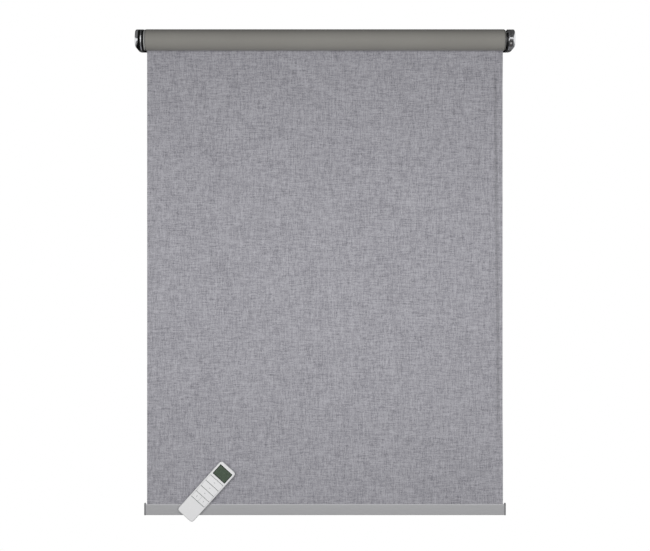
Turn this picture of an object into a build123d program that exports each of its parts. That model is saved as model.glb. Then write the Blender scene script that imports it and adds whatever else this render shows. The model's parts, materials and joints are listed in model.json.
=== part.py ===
from build123d import *
import math
import os

# Motorised roller blind with a hand-held remote control.
# X runs across the window, Y into the wall and Z up. The wall is the plane Y = 0, the room is
# at negative Y, and the origin is the centre of the four wall-screw holes.

# Fabric, roller tube and drop
fabric_width = 800.0
fabric_thickness = 0.5
fabric_drop = 1040.0  # roller axis down to the top of the bottom bar
reserve_turns = 10  # turns of fabric left on the tube
tube_radius = 19.0
tube_wall = 1.3
tube_overhang = 1.2  # tube beyond each fabric edge
tube_rib_width = 2.0  # two ribs inside the tube, which the plug and the drive wheel grip
tube_rib_height = 1.6
tube_rib_angles = (120, 240)
axis_to_wall = 38.0

# Spline groove of the tube and the strip that locks the fabric in it
groove_mouth = 2.0
groove_width = 4.4
groove_depth = 2.4
groove_lip = 0.9
groove_wall = 0.9
spline_width = 3.6
spline_height = 1.5
spline_corner = 0.4

# Brackets
ear_radius = 23.5
ear_thickness = 3.0
ear_gap = 4.1  # tube end to the inner face of each ear
flange_thickness = 3.0
flange_reach = 12.2  # wall flange beyond the outer face of the ear
flange_half_height = 21.4
flange_corner = 3.0
screw_spacing = 28.0
screw_radius = 2.25
screw_offset = 6.4  # screw line beyond the outer face of the ear
gusset_leg = 8.0
gusset_thickness = 2.2
gusset_height = 5.5
motor_ear_top = 14.0  # the ear of the motor side stops at this height
pin_boss_radius = 7.0  # boss around the hole for the idler pin
pin_boss_height = 1.5

# Bracket covers
cover_width = 14.6
cover_wall = 1.6
cover_end_wall = 2.0
cover_rounding = 3.6
cover_lower_rounding = 12.0  # lower outer corner, seen from the room
cover_edge = 0.7  # rounding of the open edge
lip_setback = 1.2  # lip over the low ear, behind the inner face of that ear
cover_lift = 0.3  # gap to the wall
cover_rib_count = 3
cover_rib_depth = 0.9
cover_rib_gap = 1.1
tab_width = 3.0  # tabs that hold a cover in the ear
tab_thickness = 1.6
tab_from_wall = 13.0
tab_height = 10.0
tab_grip = 2.2  # depth in the ear

# Idler end
plug_flange_radius = 23.0
plug_flange_thickness = 3.0
plug_flange_edge = 0.8
plug_length = 44.0
plug_pocket_radius = 9.0
plug_front_wall = 6.2
retainer_thickness = 3.0
bush_radius = 6.5
pin_radius = 4.0
pin_tip_radius = 3.0
pin_tip_edge = 0.8
pin_travel = 8.0
pin_retreat = 1.4  # pressed tip behind the inner face of the ear
pin_collar_radius = 7.2
pin_collar_length = 3.0
spring_wire = 1.1
spring_radius = 6.2
spring_turns = 7
spring_steps = 8  # straight lengths in a turn

# Motor, from the head inwards
motor_radius = 13.0
casing_wall = 0.8
crown_sleeve = 12.0
crown_flange_radius = 22.5
crown_flange_thickness = 1.4
head_collar_radius = 15.0
head_spigot = 22.0
head_in_casing = 4.0  # the casing ends this far inside the tube
neck_width = 12.0
neck_front = 9.0  # neck reaches this far in front of the axis
pod_radius = 20.6
pod_width = 10.8
pod_edge = 1.5
pod_clearance = 1.2  # pod to the wall of its cover at the rounded corner
facet_distance = 19.0  # control facet from the roller axis
facet_tilt = 28.0  # facet normal below the horizontal, degrees
facet_margin = 0.7  # window of the cover around the controls
facet_step = 4.6  # spacing of port, button and light on the facet
port_width = 7.6
port_height = 2.6
port_depth = 6.0
port_corner = 1.0
port_sheet = 0.4  # sheet metal of the charging socket
tongue_width = 4.6
tongue_thickness = 0.6
button_radius = 2.3
button_travel = 1.0
button_proud = 1.8
button_well = 6.0
button_edge = 0.4
light_radius = 1.1
light_depth = 2.0
light_proud = 0.4
board_length = 74.0
board_width = 19.0
board_thickness = 1.6
board_height = 3.0  # above the roller axis
radio_length = 14.0
radio_width = 12.0
radio_height = 3.0
chip_side = 9.0
chip_height = 1.2
driver_length = 6.0
driver_width = 5.0
driver_height = 1.6
capacitor_radius = 3.0
capacitor_height = 6.5
first_part_at = 0.7  # middle of the first part, as a share of the spacing
cell_radius = 9.1
cell_length = 65.0
cell_count = 2
cell_gap = 2.0
cell_tip_radius = 3.0
cell_tip = 1.5
chassis_opening = 12.0  # slot along the top of the inner chassis
chassis_end_wall = 2.0
dc_motor_length = 40.0
dc_motor_edge = 1.0
dc_motor_boss_radius = 3.2
dc_motor_boss = 0.7
dc_motor_bore = 8.0
motor_stack_gap = 3.0  # between the parts inside the casing
shaft_radius = 1.15

# Two-stage planetary gearbox
gear_module = 0.75
sun_teeth = 9
planet_teeth = 9
ring_teeth = 27
planet_count = 3
pressure_angle = 25.0
addendum = 0.8
dedendum = 1.05
backlash = 0.12
gear_width = 5.5
gear_end_gap = 0.4
carrier_thickness = 2.0
carrier_pin_radius = 1.2
carrier_rim = 0.6  # plate beyond the pins
gearbox_end_wall = 3.6
gearbox_end_space = 1.0  # free at each end of the housing
output_radius = 4.0
output_flat = 0.7  # depth of each of the two flats of the output shaft
wheel_to_gearbox = 1.0
drive_wheel_width = 16.0
drive_wheel_hub = 8.0
drive_wheel_rim = 4.6
drive_wheel_spokes = 6
drive_wheel_spoke = 2.2
drive_screw_radius = 1.5
drive_screw_length = 9.0
drive_screw_head = 2.4
drive_screw_rim = 1.5  # head beyond the output shaft

# Bottom bar
bar_thickness = 9.0
bar_height = 24.5
bar_wall = 1.2
bar_overhang = 3.0  # beyond each fabric edge
bar_bulge = 0.6  # crown of the front and back faces
bar_rounding = 1.6
bar_slot = 1.8
bar_spline_radius = 1.7
bar_spline_depth = 2.4  # rod below the top wall of the bar
bar_cap_thickness = 3.0
bar_cap_rise = 2.6
bar_cap_margin = 0.6
bar_cap_spigot = 12.0
bar_cap_edge = 0.8
bar_cap_wall = 1.3  # wall of the spigot
bar_cap_crown = 1.5  # narrow flat that stays on the rounded top
bar_cap_floor = 0.6

# Remote control
remote_length = 148.0
remote_width = 45.0
remote_depth = 15.0
remote_corner = 7.0
remote_edge = 2.6
remote_back_edge = 1.8
remote_wall = 1.8
remote_front_depth = 6.0  # front face to the seam
seam_step = 0.25
remote_tilt = 42.0  # leans to the right
remote_from_bar_end = 138.0  # centre of the case from the left end of the bar
remote_above_bar_foot = 54.5  # centre of the case above the lower edge of the bar
screen_width = 36.0
screen_height = 27.0
screen_top_margin = 7.0
screen_recess = 1.0
screen_thickness = 1.0
screen_corner = 0.8
display_side = 1.0  # display behind the case, beside the screen window
display_end = 1.5  # display behind the case, above and below the screen window
display_thickness = 3.2
key_width = 38.0
key_pitch = 16.0
key_slit = 0.9  # dark line between two rows of keys
key_side_gap = 0.2
key_recess = 0.15
key_depth = 3.0
key_travel = 0.8
key_flange = 0.9  # hidden rim on each side
key_edge = 0.3
key_stem = 4.0
key_flange_margin = 1.5  # the rim stops short of the corners of the key
first_slit = 5.6  # below the screen window
board_seat = 5.5  # front face to the circuit board
remote_board_thickness = 1.2
remote_board_side = 1.0  # board to the inside of the case
remote_board_end = 1.5
remote_board_corner = 3.0
processor_side = 9.0
processor_height = 1.2
processor_at = 12.0
crystal_width = 4.0
crystal_length = 8.0
crystal_height = 2.0
crystal_aside = 10.0
crystal_at = 28.0
switch_size = 5.0
switch_height = 0.25
coin_radius = 12.25
coin_thickness = 5.0
coin_from_end = 25.0
well_gap = 0.25
well_floor = 0.4
well_wall = 1.4
contact_radius = 5.0
contact_sheet = 0.4
contact_width = 6.0
contact_lead_radius = 0.8
contact_hole_radius = 1.4
door_width = 28.0
door_length = 45.0
door_thickness = 1.5
door_rail = 0.8  # rails that run under the case
door_seat = 1.2  # floor of the case under the door
grip_ribs = 5
grip_pitch = 1.8
grip_groove = 0.8
grip_width = 11.0
grip_depth = 0.5
grip_from_end = 8.0
boss_radius = 2.2
boss_clearance = 0.8  # boss to the wall of the coin cell's well
boss_angle = 40.0  # bosses from straight below the coin cell, degrees
case_screw_radius = 0.9
case_screw_head = 1.7
case_screw_head_height = 1.1

# Clearances
running_gap = 0.06
slide_gap = 0.15
body_gap = 0.3
seat_gap = 0.1  # faces that rest on each other
press_gap = 0.02  # pressed in
overlap = 0.5  # what is fused runs this far into its neighbour
beyond = 1.0  # what is cut away runs this far past the surface

# Derived places
roll_radius = tube_radius + reserve_turns * fabric_thickness
tube_inner = tube_radius - tube_wall
tube_end = fabric_width / 2 + tube_overhang
ear_inner = tube_end + ear_gap
ear_outer = ear_inner + ear_thickness
pin_proud = pin_travel - ear_thickness - pin_retreat
fabric_front = -axis_to_wall + roll_radius + body_gap
fabric_middle = fabric_front + fabric_thickness / 2
bar_top = -fabric_drop
cover_start = ear_outer + body_gap
bar_half = fabric_width / 2 + bar_overhang
casing_inner = motor_radius - casing_wall
stack_radius = casing_inner - slide_gap
front_of_ear = -axis_to_wall - ear_radius
axis_at = Pos(-axis_to_wall, 0)  # roller axis in a sketch of Y and Z


def along_x(sketch, start, end):
    """Extrudes a sketch of Y and Z from X = start to X = end."""
    return extrude(Plane.YZ.offset(start) * sketch, end - start)


def round_bar(radius, start, end, y=-axis_to_wall, z=0.0):
    """A cylinder along X."""
    return along_x(Pos(y, z) * Circle(radius), start, end)


def tube_along_x(outer, inner, start, end):
    """A round sleeve on the roller axis."""
    return along_x(axis_at * (Circle(outer) - Circle(inner)), start, end)


def hook_outline(radius, back=0.0):
    """Round in front of the roller axis and straight back to the wall."""
    reach = axis_to_wall - back
    straight = Pos(-back - reach / 2, 0) * Rectangle(reach, 2 * radius)
    return axis_at * Circle(radius) + straight


def left_hand(shape):
    """The same piece for the left end of the blind."""
    return mirror(shape, about=Plane.YZ)


# Brackets


def bracket_blank():
    """Ear, wall flange, gussets and screw holes of the right bracket."""
    ear = along_x(hook_outline(ear_radius), ear_inner, ear_outer)
    flange_end = ear_outer + flange_reach
    flange_at = Pos((ear_inner + flange_end) / 2, -flange_thickness / 2, 0)
    flange = flange_at * Box(
        flange_end - ear_inner, flange_thickness, 2 * flange_half_height
    )
    flange = fillet(flange.edges().filter_by(Axis.Y).sort_by(Axis.X)[-2:], flange_corner)
    flange &= cover_outline(cover_wall + slide_gap)
    corner = Polyline(
        (ear_outer - overlap, -flange_thickness + overlap),
        (ear_outer + gusset_leg, -flange_thickness + overlap),
        (ear_outer - overlap, -flange_thickness - gusset_leg),
        close=True,
    )
    gusset = extrude(make_face(corner), gusset_thickness / 2, both=True)
    bracket = ear + flange
    for side in (-1, 1):
        bracket += Pos(0, 0, side * gusset_height) * gusset
        hole_at = Pos(ear_outer + screw_offset, 0, side * screw_spacing / 2)
        hole = Rot(90, 0, 0) * Cylinder(screw_radius, 4 * flange_thickness)
        bracket -= hole_at * hole
        bracket -= cover_tab(side, ear_inner - beyond, ear_outer + beyond, slide_gap)
    return bracket


def cover_tab(side, start, end, gap=0.0):
    """Tab of a cover above or below the roller axis, or the slot that takes it."""
    outline = Rectangle(tab_width + 2 * gap, tab_thickness + 2 * gap)
    return along_x(Pos(-tab_from_wall, side * tab_height) * outline, start, end)


def make_right_bracket():
    """The motor side is low, with a slot, open to the room, for the flats of the motor neck."""
    half = neck_width / 2 + slide_gap
    depth = ear_radius + beyond
    slot = Pos(-axis_to_wall - depth / 2, 0) * Rectangle(depth, 2 * half)
    slot += axis_at * Circle(half)
    bracket = bracket_blank() - along_x(slot, ear_inner - beyond, ear_outer + beyond)
    reach = axis_to_wall + ear_radius
    middle = (ear_inner + ear_outer) / 2
    for back, top in ((-flange_thickness, motor_ear_top), (body_gap, flange_half_height)):
        above = Pos(middle, back - reach / 2, top + ear_radius / 2)
        bracket -= above * Box(ear_thickness + body_gap, reach, ear_radius)
    return bracket


def make_left_bracket():
    """The idler side has a boss around the hole for the idler pin."""
    bracket = left_hand(bracket_blank())
    face = -ear_outer - pin_boss_height
    bracket += round_bar(pin_boss_radius, face, -ear_outer)
    hole_radius = pin_tip_radius + 2 * running_gap
    return bracket - round_bar(hole_radius, face - beyond, -ear_inner + beyond)


def cover_outline(inset):
    """Front view of the right cover, drawn in by inset, as a block from the wall to the room."""
    near = ear_inner - beyond
    far = cover_start + cover_width - inset
    outline = Pos((near + far) / 2, 0) * Rectangle(far - near, 2 * (ear_radius - inset))
    corner = outline.vertices().group_by(Axis.Y)[0].sort_by(Axis.X)[-1]
    outline = fillet(corner, cover_lower_rounding - inset)
    return extrude(Plane.XZ.offset(-beyond) * outline, beyond - front_of_ear + beyond)


def room_edges(shape, end):
    """Edges at the first or the last X of a hook shape, without the one along the wall."""
    return [e for e in shape.edges().group_by(Axis.X)[end] if e.center().Y < -cover_lift - beyond]


def cover_shell():
    """Right cover: a rounded shell over the flange and the motor pod."""
    start, end = cover_start, cover_start + cover_width
    shell = along_x(hook_outline(ear_radius, cover_lift), start, end)
    shell = fillet(room_edges(shell, -1), cover_rounding)
    shell = fillet(room_edges(shell, 0), cover_edge)
    floor = end - cover_end_wall
    inside = hook_outline(ear_radius - cover_wall, cover_lift - beyond)
    hollow = along_x(inside, start - beyond, floor)
    hollow = chamfer(room_edges(hollow, -1), cover_rounding - cover_wall)
    shell = (shell & cover_outline(0.0)) - (hollow & cover_outline(cover_wall))
    for side in (-1, 1):
        shell += cover_tab(side, ear_outer - tab_grip, floor + overlap)
    return shell


def cover_peak():
    """Lip of the right cover above the low ear of the motor side."""
    reach = beyond - front_of_ear
    wall = hook_outline(ear_radius, cover_lift)
    wall -= hook_outline(ear_radius - cover_wall, cover_lift - beyond)
    foot = motor_ear_top + body_gap
    above = Pos(-reach / 2, foot + ear_radius / 2) * Rectangle(reach + beyond, ear_radius)
    return along_x(wall & above, ear_inner + lip_setback, cover_start + cover_edge + overlap)


def make_right_cover():
    """The motor side is ribbed, with a window onto the controls of the motor pod."""
    cover = cover_shell() + cover_peak()
    pitch = (cover_width - cover_rounding) / cover_rib_count
    for rib in range(cover_rib_count):
        at = cover_start + pitch * (rib + 0.5)
        ring = hook_outline(ear_radius + beyond, cover_lift - beyond)
        ring -= hook_outline(ear_radius - cover_rib_depth, cover_lift - 2 * beyond)
        cover -= along_x(ring, at - cover_rib_gap / 2, at + cover_rib_gap / 2)
    window = facet_plane() * Box(
        port_width + 2 * facet_margin,
        3 * facet_step + 2 * facet_margin,
        3 * (ear_radius - facet_distance),
    )
    return cover - window


def facet_plane():
    """The control facet of the motor pod: local X across the blind, Y up the facet, Z outwards."""
    tilt = math.radians(facet_tilt)
    out = Vector(0, -math.cos(tilt), -math.sin(tilt))
    middle = cover_start + pod_width / 2
    origin = Vector(middle, -axis_to_wall, 0) + out * facet_distance
    return Plane(origin=origin, x_dir=(1, 0, 0), z_dir=out).location


# Roller


def groove_notch(clearance):
    """Space that the spline groove takes inside the tube, at the top of the tube."""
    depth = groove_lip + groove_depth + groove_wall + clearance
    width = groove_width + 2 * groove_wall + 2 * clearance
    return Pos(0, tube_radius - depth / 2) * Rectangle(width, depth)


def tube_section():
    """Round tube with an inward spline groove and two drive ribs."""
    ring = Circle(tube_radius) - Circle(tube_inner)
    block = groove_notch(0) & Circle(tube_radius)
    lip = tube_radius - groove_lip
    mouth = Pos(0, tube_radius) * Rectangle(groove_mouth, 3 * groove_lip)
    channel = Pos(0, lip - groove_depth / 2) * Rectangle(groove_width, groove_depth)
    section = ring + block - mouth - channel
    root = tube_wall / 3
    middle = tube_inner + (root - tube_rib_height) / 2
    rib = Pos(0, middle) * Rectangle(tube_rib_width, tube_rib_height + root)
    for angle in tube_rib_angles:
        section += Rot(0, 0, angle) * rib
    return section


def insert_section(radius):
    """Outline of a plug inside the tube, notched for the spline groove and the two ribs."""
    body = Circle(radius) - groove_notch(slide_gap)
    depth = tube_rib_height + 2 * body_gap
    slot = Pos(0, tube_inner) * Rectangle(tube_rib_width + 2 * slide_gap, 2 * depth)
    for angle in tube_rib_angles:
        body -= Rot(0, 0, angle) * slot
    return body


def make_roller_tube():
    return along_x(axis_at * tube_section(), -tube_end, tube_end)


def make_tube_spline():
    """Strip in the groove, over the clamped end of the fabric."""
    depth = groove_lip + groove_depth
    seat = tube_radius - depth + slide_gap + spline_height / 2
    strip = Pos(0, seat) * Rectangle(spline_width, spline_height)
    strip = fillet(strip.vertices(), spline_corner)
    return along_x(axis_at * strip, -fabric_width / 2, fabric_width / 2)


def make_fabric_roll():
    """The turns of fabric that stay on the tube."""
    inner = tube_radius + press_gap
    return tube_along_x(roll_radius, inner, -fabric_width / 2, fabric_width / 2)


def plug_places():
    """X of the plug's front face, its shoulder on the tube, its pocket and its inner end."""
    seat = -tube_end - seat_gap
    front = seat - plug_flange_thickness
    return front, seat, front + plug_front_wall, seat + plug_length


def make_idler_plug():
    """End plug with a flange, a seat for the bush and a pocket for pin and spring."""
    front, seat, pocket, end = plug_places()
    radius = tube_inner - slide_gap
    plug = along_x(axis_at * insert_section(radius), seat, end)
    flange = round_bar(plug_flange_radius, front, seat)
    plug += chamfer(flange.edges().group_by(Axis.X)[0], plug_flange_edge)
    plug -= round_bar(plug_pocket_radius, pocket, end + beyond)
    plug -= round_bar(bush_radius, front - beyond, pocket + beyond)
    return plug


def make_spring_retainer():
    """Disc pressed into the inner end of the plug, with a guide hole for the pin's tail."""
    end = plug_places()[3]
    return tube_along_x(
        plug_pocket_radius - running_gap,
        pin_radius + 2 * running_gap,
        end - retainer_thickness,
        end,
    )


def make_idler_bush():
    front, _, pocket, _ = plug_places()
    return tube_along_x(bush_radius - press_gap, pin_radius + running_gap, front, pocket)


def pin_places():
    """X of the tip, the shoulder, the collar's two faces and the tail of the idler pin."""
    tip = -ear_outer - pin_proud
    shoulder = -ear_inner + body_gap
    collar = plug_places()[2] + body_gap
    tail = plug_places()[3] - retainer_thickness / 2
    return tip, shoulder, collar, collar + pin_collar_length, tail


def make_idler_pin():
    tip, shoulder, collar, collar_end, tail = pin_places()
    nose = round_bar(pin_tip_radius, tip, shoulder)
    nose = chamfer(nose.edges().group_by(Axis.X)[0], pin_tip_edge)
    pin = nose + round_bar(pin_radius, shoulder, tail)
    return pin + round_bar(pin_collar_radius, collar, collar_end)


def make_idler_spring():
    """Coil of flat-sided wire between the collar of the pin and the back of the plug."""
    start = pin_places()[3] + spring_wire / 2 + seat_gap
    end = plug_places()[3] - retainer_thickness - spring_wire / 2 - seat_gap
    steps = spring_turns * spring_steps
    points = []
    for n in range(steps + 1):
        turn = 2 * math.pi * n / spring_steps
        points.append(
            (
                start + (end - start) * n / steps,
                -axis_to_wall + spring_radius * math.cos(turn),
                spring_radius * math.sin(turn),
            )
        )
    path = Polyline(*points)
    section = Plane(origin=path @ 0, z_dir=path % 0) * RegularPolygon(
        spring_wire / 2, 5
    )
    return sweep(section, path=path, transition=Transition.RIGHT)


# Motor


def make_motor_head():
    """Spigot in the casing, collar, neck with two flats, and the control pod."""
    collar_start = tube_end + crown_flange_thickness + body_gap
    pod_start, pod_end = cover_start, cover_start + pod_width
    head = round_bar(stack_radius, tube_end - head_spigot, tube_end)
    head += round_bar(motor_radius, tube_end - head_in_casing, collar_start)
    head += round_bar(head_collar_radius, collar_start, ear_inner - body_gap)
    neck = axis_at * (
        Circle(neck_width / 2) + Pos(-neck_front / 2, 0) * Rectangle(neck_front, neck_width)
    )
    head += along_x(neck, ear_inner - body_gap, pod_start)
    pod = round_bar(pod_radius, pod_start, pod_end)
    pod = chamfer(pod.edges().group_by(Axis.X)[-1], pod_edge)
    pod &= cover_outline(cover_wall + pod_clearance)
    facet = facet_plane()
    above = pod_radius / 2
    pod -= facet * Pos(0, 0, above) * Box(2 * pod_width, 2 * pod_radius, 2 * above)
    head += pod
    port = extrude(RectangleRounded(port_width, port_height, port_corner), -port_depth)
    head -= facet * Pos(0, facet_step, 0) * port
    head -= facet * Cylinder(button_radius + slide_gap, 2 * button_well)
    head -= facet * Pos(0, -facet_step, 0) * Cylinder(light_radius + press_gap, 2 * light_depth)
    return head


def make_charge_port():
    """Metal shell of the charging socket with its contact tongue."""
    inset = seat_gap / 2
    outer = offset(RectangleRounded(port_width, port_height, port_corner), -inset)
    depth = port_depth - 2 * inset
    shell = extrude(outer - offset(outer, -port_sheet), -depth)
    floor = Pos(0, 0, -depth) * extrude(outer, port_sheet)
    tongue = extrude(Rectangle(tongue_width, tongue_thickness), -depth)
    return facet_plane() * Pos(0, facet_step, -inset) * (shell + floor + tongue)


def make_program_button():
    button = Cylinder(
        button_radius,
        button_proud + button_well - button_travel - body_gap,
        align=(Align.CENTER, Align.CENTER, Align.MAX),
    )
    button = chamfer(button.edges().group_by(Axis.Z)[-1], button_edge)
    return facet_plane() * Pos(0, 0, button_proud) * button


def make_status_light():
    lens = Cylinder(
        light_radius,
        light_depth + light_proud - seat_gap,
        align=(Align.CENTER, Align.CENTER, Align.MAX),
    )
    return facet_plane() * Pos(0, -facet_step, light_proud) * lens


def stack_places():
    """X ranges of the parts inside the casing, from the head inwards."""
    board_end = tube_end - head_spigot - motor_stack_gap
    board_start = board_end - board_length
    cells_end = board_start - motor_stack_gap
    cells_start = cells_end - cell_count * cell_length - (cell_count - 1) * cell_gap
    can_end = cells_start - motor_stack_gap
    can_start = can_end - dc_motor_length
    return {
        "board": (board_start, board_end),
        "cells": (cells_start, cells_end),
        "can": (can_start, can_end),
        "gearbox": (can_start - gearbox_length(), can_start),
    }


def gearbox_length():
    stage = gear_width + carrier_thickness + 3 * gear_end_gap
    return 2 * stage + gearbox_end_wall + 2 * gearbox_end_space


def make_motor_casing():
    start = stack_places()["gearbox"][0]
    return tube_along_x(motor_radius, casing_inner, start, tube_end - head_in_casing)


def make_inner_chassis():
    """Open tray that carries the cells and the circuit board inside the casing."""
    places = stack_places()
    start = places["cells"][0] - motor_stack_gap + seat_gap
    end = places["board"][1] + motor_stack_gap - seat_gap
    ring = Circle(stack_radius) - Circle(cell_radius + slide_gap)
    opening = Pos(0, stack_radius) * Rectangle(chassis_opening, stack_radius)
    tray = along_x(axis_at * (ring - opening), start, end)
    for near, far in ((start, places["cells"][0] - seat_gap), (end - chassis_end_wall, end)):
        tray += along_x(axis_at * (Circle(stack_radius) - opening), near, far)
    board_start = places["board"][0] - 2 * seat_gap
    groove = Pos((board_start + end + beyond) / 2, -axis_to_wall, board_height) * Box(
        end + beyond - board_start,
        board_width + 2 * slide_gap,
        board_thickness + 2 * slide_gap,
    )
    return tray - groove


def make_control_board():
    """Circuit board with its radio can, processor, motor driver and capacitor."""
    start, end = stack_places()["board"]
    board = Pos((start + end) / 2, -axis_to_wall, board_height) * Box(
        board_length, board_width, board_thickness
    )
    top = board_height + board_thickness / 2
    stands = (Align.CENTER, Align.CENTER, Align.MIN)
    radio = Box(radio_length, radio_width, radio_height, align=stands)
    chip = Box(chip_side, chip_side, chip_height, align=stands)
    driver = Box(driver_length, driver_width, driver_height, align=stands)
    capacitor = Cylinder(capacitor_radius, capacitor_height, align=stands)
    parts = (radio, chip, driver, capacitor)
    for n, part in enumerate(parts):
        x = start + board_length * (n + first_part_at) / len(parts)
        board += Pos(x, -axis_to_wall, top) * part
    return board


def make_battery_cells():
    start = stack_places()["cells"][0]
    cells = []
    for n in range(cell_count):
        near = start + n * (cell_length + cell_gap)
        shoulder = near + cell_length - cell_tip
        can = round_bar(cell_radius, near, shoulder)
        can += round_bar(cell_tip_radius, shoulder, near + cell_length)
        cells.append(can)
    return Compound(children=cells)


def make_dc_motor():
    """Motor can with a front boss and a bore for its shaft."""
    start, end = stack_places()["can"]
    can = round_bar(stack_radius, start, end)
    can = chamfer(can.edges().group_by(Axis.X)[-1], dc_motor_edge)
    can += round_bar(dc_motor_boss_radius, start - dc_motor_boss, start)
    bore = shaft_radius + running_gap
    return can - round_bar(bore, start - beyond, start + dc_motor_bore)


# Gears


def involute(angle):
    return math.tan(angle) - angle


def gear_outline(teeth, tip, root, play, turn=0.0):
    """Gear with flat-sided involute flanks: tip and root are heights in modules, play widens it."""
    pitch = gear_module * teeth / 2
    alpha = math.radians(pressure_angle)
    base = pitch * math.cos(alpha)
    radii = (pitch + root * gear_module, pitch, pitch + tip * gear_module)
    middle = math.pi / (2 * teeth) + play / (2 * pitch)
    half = []
    for radius in radii:
        local = math.acos(min(1.0, base / max(radius, base)))
        half.append(middle + involute(alpha) - involute(local))
    points = []
    for n in range(teeth):
        centre = 2 * math.pi * n / teeth + math.radians(turn)
        flank = list(zip(radii, half))
        for radius, width in flank:
            points.append(Vector(radius, 0).rotate(Axis.Z, math.degrees(centre - width)))
        for radius, width in reversed(flank):
            points.append(Vector(radius, 0).rotate(Axis.Z, math.degrees(centre + width)))
    return make_face(Polyline(*points, close=True))


def planet_angle(n):
    """Place of a planet round the roller axis, with the first one straight up."""
    return 90 + 360 * n / planet_count


def stage_places():
    """X of each stage's gears and carrier: the first stage is next to the motor."""
    gearbox_end = stack_places()["gearbox"][1]
    stages = []
    face = gearbox_end - gearbox_end_space
    for _ in range(2):
        gears = (face - gear_width, face)
        plate_end = gears[0] - gear_end_gap
        plate = (plate_end - carrier_thickness, plate_end)
        stages.append({"gears": gears, "plate": plate})
        face = plate[0] - gear_end_gap
    return stages


def sun_section(turn=90.0):
    return gear_outline(sun_teeth, addendum, -dedendum, -backlash / 2, turn)


def make_motor_pinion():
    """Motor shaft with the first sun gear."""
    gears = stage_places()[0]["gears"]
    can_start = stack_places()["can"][0]
    shaft = round_bar(shaft_radius, gears[0], can_start + dc_motor_bore - beyond)
    return shaft + along_x(axis_at * sun_section(), *gears)


def carrier_pins(stage):
    """Plate and three pins that carry the planets of a stage."""
    gears, plate = stage["gears"], stage["plate"]
    centre_distance = gear_module * (sun_teeth + planet_teeth) / 2
    rim = centre_distance + carrier_pin_radius + carrier_rim
    carrier = round_bar(rim, *plate)
    for n in range(planet_count):
        angle = math.radians(planet_angle(n))
        y = -axis_to_wall + centre_distance * math.cos(angle)
        z = centre_distance * math.sin(angle)
        carrier += round_bar(carrier_pin_radius, plate[1] - overlap, gears[1], y, z)
    return carrier


def make_first_carrier():
    """First carrier, with the second sun gear on its far side."""
    first, second = stage_places()
    sun = along_x(axis_at * sun_section(), second["gears"][0], first["plate"][0] + overlap)
    return carrier_pins(first) + sun


def wheel_places():
    """X of the two faces of the drive wheel."""
    end = stack_places()["gearbox"][0] - wheel_to_gearbox
    return end - drive_wheel_width, end


def output_section(gap):
    """Round shaft with two flats, or the bore that takes it."""
    flats = Rectangle(3 * output_radius, 2 * (output_radius - output_flat + gap))
    return Circle(output_radius + gap) & flats


def make_output_carrier():
    """Second carrier, with the output shaft that turns the drive wheel."""
    second = stage_places()[1]
    start, end = wheel_places()
    carrier = carrier_pins(second)
    carrier += along_x(axis_at * output_section(0.0), start, second["plate"][0])
    carrier += round_bar(output_radius, end + wheel_to_gearbox / 2, second["plate"][0])
    bore = drive_screw_radius + running_gap
    return carrier - round_bar(bore, start - beyond, start + drive_screw_length + beyond)


def make_planet(stage, n):
    gears = stage_places()[stage]["gears"]
    centre_distance = gear_module * (sun_teeth + planet_teeth) / 2
    turn = planet_angle(n)
    section = gear_outline(planet_teeth, addendum, -dedendum, -backlash / 2, turn)
    section -= Circle(carrier_pin_radius + running_gap)
    angle = math.radians(turn)
    place = Pos(
        -axis_to_wall + centre_distance * math.cos(angle),
        centre_distance * math.sin(angle),
    )
    return along_x(place * section, gears[0] + seat_gap, gears[1] - seat_gap)


def make_gearbox_housing():
    """Round housing with the ring gear's teeth inside and a bearing for the output shaft."""
    start, end = stack_places()["gearbox"]
    teeth = gear_outline(ring_teeth, dedendum, -addendum, backlash / 2, 90.0)
    housing = round_bar(stack_radius, start, end - seat_gap)
    housing -= along_x(axis_at * teeth, start + gearbox_end_wall, end + beyond)
    return housing - round_bar(output_radius + running_gap, start - beyond, end)


def make_crown_ring():
    """Collar that lets the tube turn on the end of the motor casing."""
    sleeve = insert_section(tube_inner - slide_gap) - Circle(motor_radius + running_gap)
    ring = along_x(axis_at * sleeve, tube_end - crown_sleeve, tube_end)
    flange_end = tube_end + crown_flange_thickness
    bore = motor_radius + running_gap
    flange = tube_along_x(crown_flange_radius, bore, tube_end + seat_gap, flange_end)
    outer_edge = flange.edges().group_by(Axis.X)[-1].sort_by(SortBy.RADIUS)[-1]
    flange = chamfer(outer_edge, crown_flange_thickness / 2)
    neck = along_x(axis_at * sleeve, tube_end, tube_end + 2 * seat_gap)
    return ring + neck + flange


def make_drive_wheel():
    """Spoked wheel that turns the tube from the output shaft."""
    outer = tube_inner - slide_gap
    inner = outer - drive_wheel_rim
    section = insert_section(outer) - Circle(inner) + Circle(drive_wheel_hub)
    length = inner - drive_wheel_hub + 4 * overlap
    spoke = Pos(0, (drive_wheel_hub + inner) / 2) * Rectangle(drive_wheel_spoke, length)
    for n in range(drive_wheel_spokes):
        section += Rot(0, 0, 360 * n / drive_wheel_spokes) * spoke
    return along_x(axis_at * (section - output_section(press_gap)), *wheel_places())


def make_drive_screw():
    """Screw and washer head that hold the drive wheel on the output shaft."""
    start = wheel_places()[0]
    screw = round_bar(drive_screw_radius, start - beyond, start + drive_screw_length)
    head_end = start - seat_gap
    return screw + round_bar(output_radius + drive_screw_rim, head_end - drive_screw_head, head_end)


# Fabric drop and bottom bar


def make_fabric_drop():
    """Hanging sheet, from the back of the roll down into the slot of the bar."""
    bottom = bar_top - bar_slot_depth() + body_gap
    height = -bottom
    return Pos(0, fabric_middle, bottom / 2) * Box(fabric_width, fabric_thickness, height)


def bar_slot_depth():
    """Top of the bar down to the top of the spline rod."""
    return bar_wall + bar_spline_depth


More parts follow.
